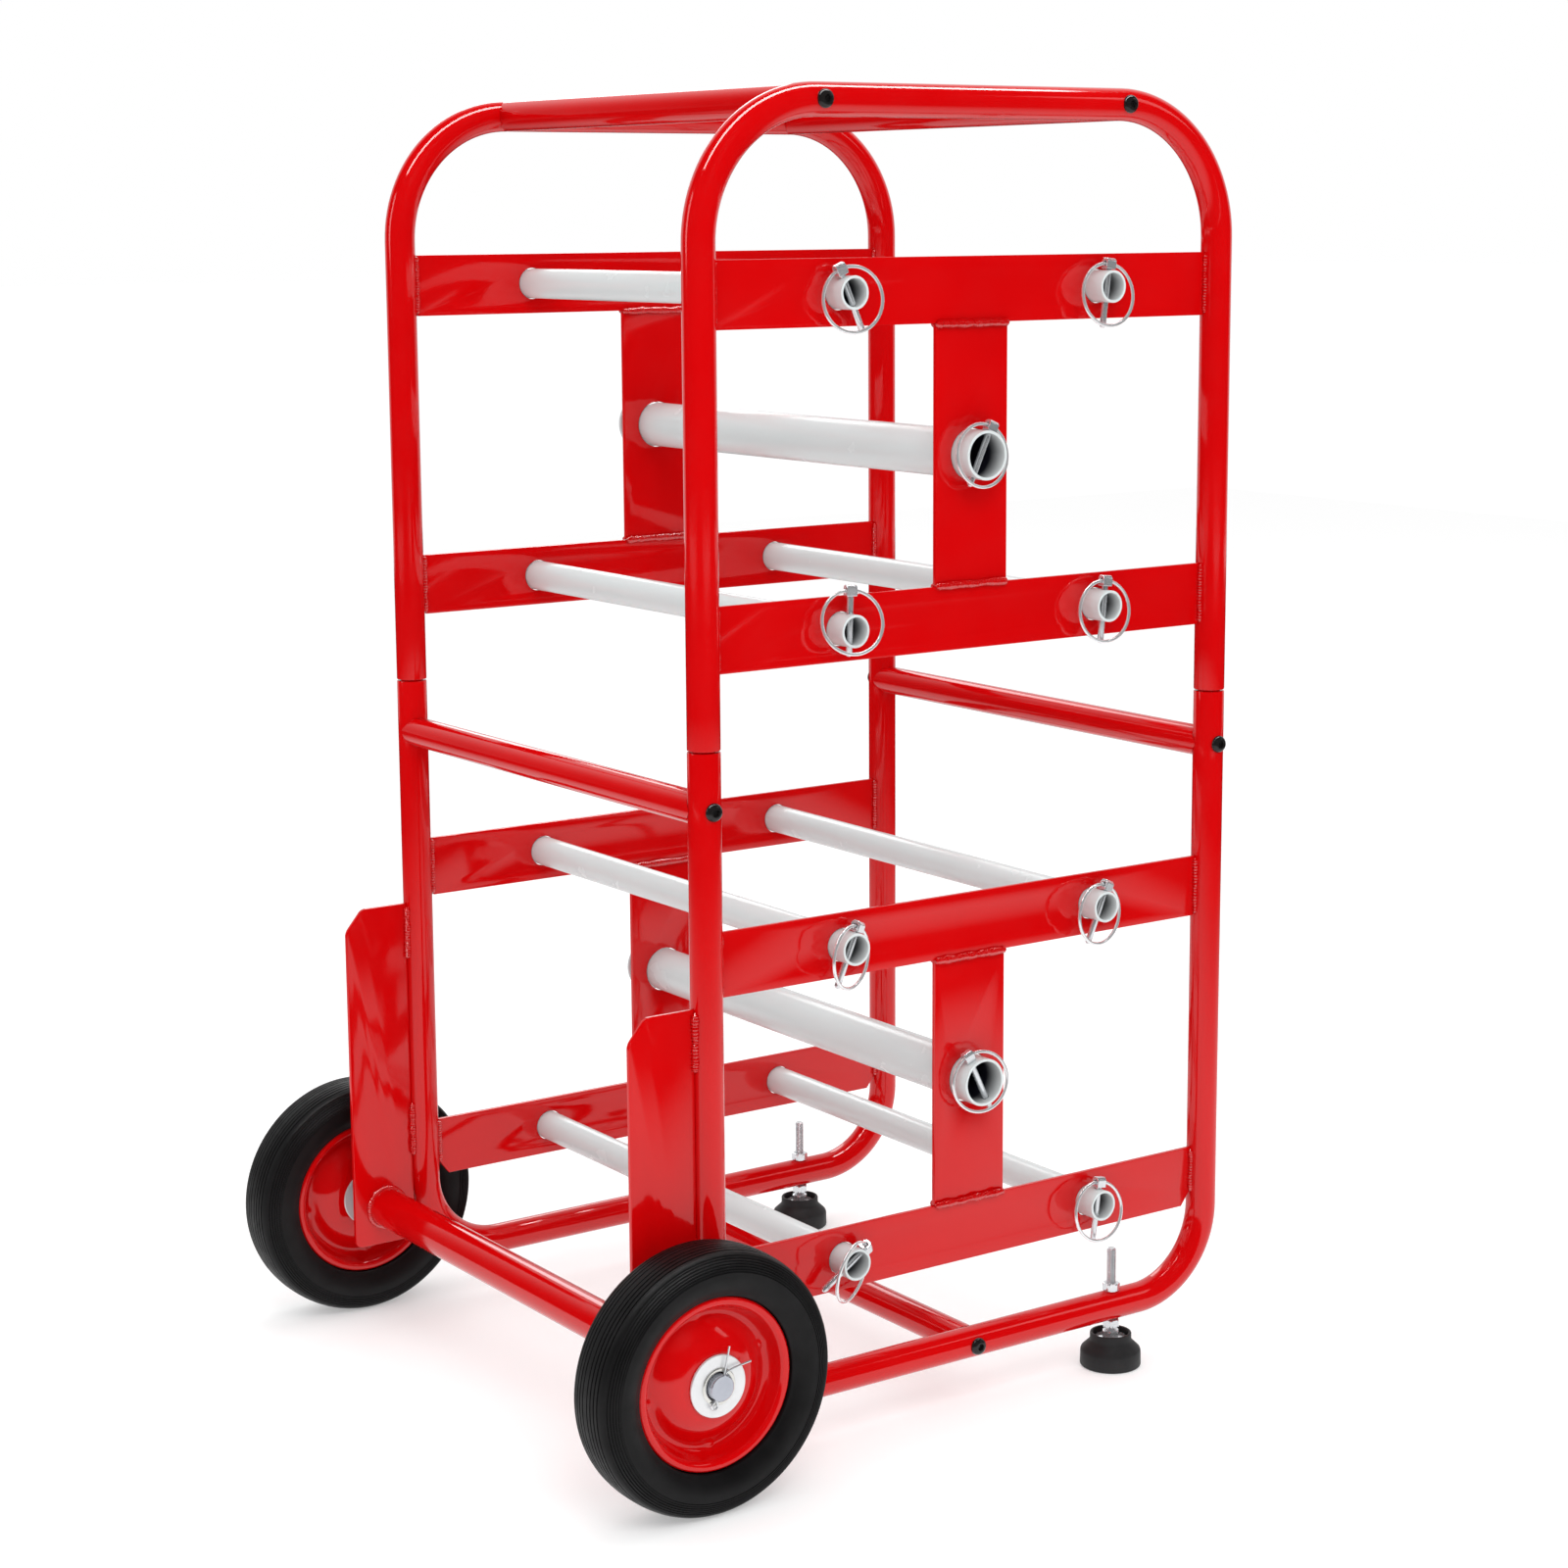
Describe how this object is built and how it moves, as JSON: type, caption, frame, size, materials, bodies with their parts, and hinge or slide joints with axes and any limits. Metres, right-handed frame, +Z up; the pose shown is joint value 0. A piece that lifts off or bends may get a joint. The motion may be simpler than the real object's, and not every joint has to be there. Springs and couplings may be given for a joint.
{
  "type": "wire spool rack",
  "caption": "Wheeled rack of bent steel tube with removable cross spindles held by ring pins, for paying out wire or cable spools; wheels at the rear and levelling feet at the front.",
  "frame": {"origin": "centre of the bounding box in X and Y, at floor level under the wheels and feet", "axes": "+X along the spindles towards their pinned ends, +Y from the wheels towards the levelling feet, +Z up"},
  "size_m": [0.603, 0.65, 1.0405],
  "materials": {
    "red_paint": "gloss",
    "white_paint": "gloss",
    "zinc_plate": "satin",
    "bright_wire": "polished",
    "tyre_rubber": "matt",
    "foot_rubber": "matt"
  },
  "bodies": {
    "frame": {"upper_hoop_left": "red_paint", "lower_hoop_left": "red_paint", "rail_frame_upper_left": "red_paint", "rail_frame_lower_left": "red_paint", "wheel_plate_left": "red_paint", "axle_washer_left": "zinc_plate", "cotter_left": "zinc_plate", "upper_hoop_right": "red_paint", "lower_hoop_right": "red_paint", "rail_frame_upper_right": "red_paint", "rail_frame_lower_right": "red_paint", "wheel_plate_right": "red_paint", "axle_washer_right": "zinc_plate", "cotter_right": "zinc_plate", "axle_tube": "red_paint", "axle": "zinc_plate", "cross_tube_top_rear": "red_paint", "cross_tube_top_front": "red_paint", "cross_tube_mid_rear": "red_paint", "cross_tube_mid_front": "red_paint", "cross_tube_bottom": "red_paint"},
    "wheel_left": {"rim_left": "red_paint", "tyre_left": "tyre_rubber"},
    "levelling_foot_left": {"foot_left": "foot_rubber", "foot_stud_left": "zinc_plate"},
    "wheel_right": {"rim_right": "red_paint", "tyre_right": "tyre_rubber"},
    "levelling_foot_right": {"foot_right": "foot_rubber", "foot_stud_right": "zinc_plate"},
    "spindle_row1_rear_body": {"spindle_row1_rear": "white_paint"},
    "pin_row1_rear_body": {"pin_row1_rear": "zinc_plate"},
    "ring_row1_rear_body": {"ring_row1_rear": "bright_wire"},
    "spindle_row1_front_body": {"spindle_row1_front": "white_paint"},
    "pin_row1_front_body": {"pin_row1_front": "zinc_plate"},
    "ring_row1_front_body": {"ring_row1_front": "bright_wire"},
    "spindle_mid_upper_body": {"spindle_mid_upper": "white_paint"},
    "pin_mid_upper_body": {"pin_mid_upper": "zinc_plate"},
    "ring_mid_upper_body": {"ring_mid_upper": "bright_wire"},
    "spindle_row2_rear_body": {"spindle_row2_rear": "white_paint"},
    "pin_row2_rear_body": {"pin_row2_rear": "zinc_plate"},
    "ring_row2_rear_body": {"ring_row2_rear": "bright_wire"},
    "spindle_row2_front_body": {"spindle_row2_front": "white_paint"},
    "pin_row2_front_body": {"pin_row2_front": "zinc_plate"},
    "ring_row2_front_body": {"ring_row2_front": "bright_wire"},
    "spindle_row3_rear_body": {"spindle_row3_rear": "white_paint"},
    "pin_row3_rear_body": {"pin_row3_rear": "zinc_plate"},
    "ring_row3_rear_body": {"ring_row3_rear": "bright_wire"},
    "spindle_row3_front_body": {"spindle_row3_front": "white_paint"},
    "pin_row3_front_body": {"pin_row3_front": "zinc_plate"},
    "ring_row3_front_body": {"ring_row3_front": "bright_wire"},
    "spindle_mid_lower_body": {"spindle_mid_lower": "white_paint"},
    "pin_mid_lower_body": {"pin_mid_lower": "zinc_plate"},
    "ring_mid_lower_body": {"ring_mid_lower": "bright_wire"},
    "spindle_row4_rear_body": {"spindle_row4_rear": "white_paint"},
    "pin_row4_rear_body": {"pin_row4_rear": "zinc_plate"},
    "ring_row4_rear_body": {"ring_row4_rear": "bright_wire"},
    "spindle_row4_front_body": {"spindle_row4_front": "white_paint"},
    "pin_row4_front_body": {"pin_row4_front": "zinc_plate"},
    "ring_row4_front_body": {"ring_row4_front": "bright_wire"}
  },
  "joints": [
    {"name": "wheel_left_spin", "type": "hinge", "parent": "frame", "child": "wheel_left", "pos_m": [-0.275, -0.223, 0.102], "axis": [1, 0, 0], "continuous": true},
    {"name": "foot_left_screw", "type": "slide", "parent": "frame", "child": "levelling_foot_left", "axis": [0, 0, -1], "range_m": [-0.002, 0.028]},
    {"name": "wheel_right_spin", "type": "hinge", "parent": "frame", "child": "wheel_right", "pos_m": [0.275, -0.223, 0.102], "axis": [1, 0, 0], "continuous": true},
    {"name": "foot_right_screw", "type": "slide", "parent": "frame", "child": "levelling_foot_right", "axis": [0, 0, -1], "range_m": [-0.002, 0.028]},
    {"name": "spindle_row1_rear_spin", "type": "hinge", "parent": "frame", "child": "spindle_row1_rear_body", "pos_m": [0, -0.0595, 0.889], "axis": [1, 0, 0], "continuous": true},
    {"name": "pin_row1_rear_pull", "type": "slide", "parent": "spindle_row1_rear_body", "child": "pin_row1_rear_body", "axis": [0, -0.4067, 0.9135], "range_m": [0, 0.0425]},
    {"name": "ring_row1_rear_swing", "type": "hinge", "parent": "pin_row1_rear_body", "child": "ring_row1_rear_body", "pos_m": [0.236, -0.06706, 0.90599], "axis": [-0.1392, -0.9047, -0.4028], "range_deg": [0, 105]},
    {"name": "spindle_row1_front_spin", "type": "hinge", "parent": "frame", "child": "spindle_row1_front_body", "pos_m": [0, 0.1885, 0.889], "axis": [1, 0, 0], "continuous": true},
    {"name": "pin_row1_front_pull", "type": "slide", "parent": "spindle_row1_front_body", "child": "pin_row1_front_body", "axis": [0, 0.1219, 0.9925], "range_m": [0, 0.0435]},
    {"name": "ring_row1_front_swing", "type": "hinge", "parent": "pin_row1_front_body", "child": "ring_row1_front_body", "pos_m": [0.236, 0.19065, 0.90647], "axis": [-0.0698, -0.9901, 0.1216], "range_deg": [0, 105]},
    {"name": "spindle_mid_upper_spin", "type": "hinge", "parent": "frame", "child": "spindle_mid_upper_body", "pos_m": [0, 0.0645, 0.76425], "axis": [1, 0, 0], "continuous": true},
    {"name": "pin_mid_upper_pull", "type": "slide", "parent": "spindle_mid_upper_body", "child": "pin_mid_upper_body", "axis": [0, 0.4226, 0.9063], "range_m": [0, 0.044]},
    {"name": "ring_mid_upper_swing", "type": "hinge", "parent": "pin_mid_upper_body", "child": "ring_mid_upper_body", "pos_m": [0.236, 0.07447, 0.78564], "axis": [-0.0349, -0.9058, 0.4224], "range_deg": [0, 105]},
    {"name": "spindle_row2_rear_spin", "type": "hinge", "parent": "frame", "child": "spindle_row2_rear_body", "pos_m": [0, -0.0595, 0.6395], "axis": [1, 0, 0], "continuous": true},
    {"name": "pin_row2_rear_pull", "type": "slide", "parent": "spindle_row2_rear_body", "child": "pin_row2_rear_body", "axis": [0, 0.0349, 0.9994], "range_m": [0, 0.031]},
    {"name": "ring_row2_rear_swing", "type": "hinge", "parent": "pin_row2_rear_body", "child": "ring_row2_rear_body", "pos_m": [0.236, -0.05845, 0.66958], "axis": [-0.2756, -0.9607, 0.0335], "range_deg": [0, 100]},
    {"name": "spindle_row2_front_spin", "type": "hinge", "parent": "frame", "child": "spindle_row2_front_body", "pos_m": [0, 0.1885, 0.6395], "axis": [1, 0, 0], "continuous": true},
    {"name": "pin_row2_front_pull", "type": "slide", "parent": "spindle_row2_front_body", "child": "pin_row2_front_body", "axis": [0, 0.0958, 0.9954], "range_m": [0, 0.0415]},
    {"name": "ring_row2_front_swing", "type": "hinge", "parent": "pin_row2_front_body", "child": "ring_row2_front_body", "pos_m": [0.236, 0.19038, 0.65901], "axis": [-0.0698, -0.993, 0.0956], "range_deg": [0, 105]},
    {"name": "spindle_row3_rear_spin", "type": "hinge", "parent": "frame", "child": "spindle_row3_rear_body", "pos_m": [0, -0.0595, 0.3965], "axis": [1, 0, 0], "continuous": true},
    {"name": "pin_row3_rear_pull", "type": "slide", "parent": "spindle_row3_rear_body", "child": "pin_row3_rear_body", "axis": [0, 0.3987, 0.9171], "range_m": [0, 0.044]},
    {"name": "ring_row3_rear_swing", "type": "hinge", "parent": "pin_row3_rear_body", "child": "ring_row3_rear_body", "pos_m": [0.236, -0.05268, 0.41218], "axis": [0.342, -0.8618, 0.3747], "range_deg": [0, 105]},
    {"name": "spindle_row3_front_spin", "type": "hinge", "parent": "frame", "child": "spindle_row3_front_body", "pos_m": [0, 0.1885, 0.3965], "axis": [1, 0, 0], "continuous": true},
    {"name": "pin_row3_front_pull", "type": "slide", "parent": "spindle_row3_front_body", "child": "pin_row3_front_body", "axis": [0, 0.3907, 0.9205], "range_m": [0, 0.044]},
    {"name": "ring_row3_front_swing", "type": "hinge", "parent": "pin_row3_front_body", "child": "ring_row3_front_body", "pos_m": [0.236, 0.19518, 0.41224], "axis": [0.1219, -0.9136, 0.3878], "range_deg": [0, 105]},
    {"name": "spindle_mid_lower_spin", "type": "hinge", "parent": "frame", "child": "spindle_mid_lower_body", "pos_m": [0, 0.0645, 0.27175], "axis": [1, 0, 0], "continuous": true},
    {"name": "pin_mid_lower_pull", "type": "slide", "parent": "spindle_mid_lower_body", "child": "pin_mid_lower_body", "axis": [0, -0.4384, 0.8988], "range_m": [0, 0.044]},
    {"name": "ring_mid_lower_swing", "type": "hinge", "parent": "pin_mid_lower_body", "child": "ring_mid_lower_body", "pos_m": [0.236, 0.05415, 0.29296], "axis": [-0.1219, -0.8921, -0.4351], "range_deg": [0, 105]},
    {"name": "spindle_row4_rear_spin", "type": "hinge", "parent": "frame", "child": "spindle_row4_rear_body", "pos_m": [0, -0.0595, 0.147], "axis": [1, 0, 0], "continuous": true},
    {"name": "pin_row4_rear_pull", "type": "slide", "parent": "spindle_row4_rear_body", "child": "pin_row4_rear_body", "axis": [0, 0.8387, 0.5446], "range_m": [0, 0.044]},
    {"name": "ring_row4_rear_swing", "type": "hinge", "parent": "pin_row4_rear_body", "child": "ring_row4_rear_body", "pos_m": [0.236, -0.04516, 0.15631], "axis": [0.4067, -0.4976, 0.7662], "range_deg": [0, 65]},
    {"name": "spindle_row4_front_spin", "type": "hinge", "parent": "frame", "child": "spindle_row4_front_body", "pos_m": [0, 0.1885, 0.147], "axis": [1, 0, 0], "continuous": true},
    {"name": "pin_row4_front_pull", "type": "slide", "parent": "spindle_row4_front_body", "child": "pin_row4_front_body", "axis": [0, 0.1305, 0.9914], "range_m": [0, 0.043]},
    {"name": "ring_row4_front_swing", "type": "hinge", "parent": "pin_row4_front_body", "child": "ring_row4_front_body", "pos_m": [0.236, 0.19086, 0.16495], "axis": [-0.0175, -0.9913, 0.1305], "range_deg": [0, 105]}
  ],
  "couplings": [
    {"joint": "pin_row1_rear_pull", "follows": "ring_row1_rear_swing", "m_per_rad": 0.023168},
    {"joint": "pin_row1_front_pull", "follows": "ring_row1_front_swing", "m_per_rad": 0.023713},
    {"joint": "pin_mid_upper_pull", "follows": "ring_mid_upper_swing", "m_per_rad": 0.023986},
    {"joint": "pin_row2_rear_pull", "follows": "ring_row2_rear_swing", "m_per_rad": 0.017744},
    {"joint": "pin_row2_front_pull", "follows": "ring_row2_front_swing", "m_per_rad": 0.022623},
    {"joint": "pin_row3_rear_pull", "follows": "ring_row3_rear_swing", "m_per_rad": 0.023986},
    {"joint": "pin_row3_front_pull", "follows": "ring_row3_front_swing", "m_per_rad": 0.023986},
    {"joint": "pin_mid_lower_pull", "follows": "ring_mid_lower_swing", "m_per_rad": 0.023986},
    {"joint": "pin_row4_rear_pull", "follows": "ring_row4_rear_swing", "m_per_rad": 0.038746},
    {"joint": "pin_row4_front_pull", "follows": "ring_row4_front_swing", "m_per_rad": 0.023441}
  ]
}
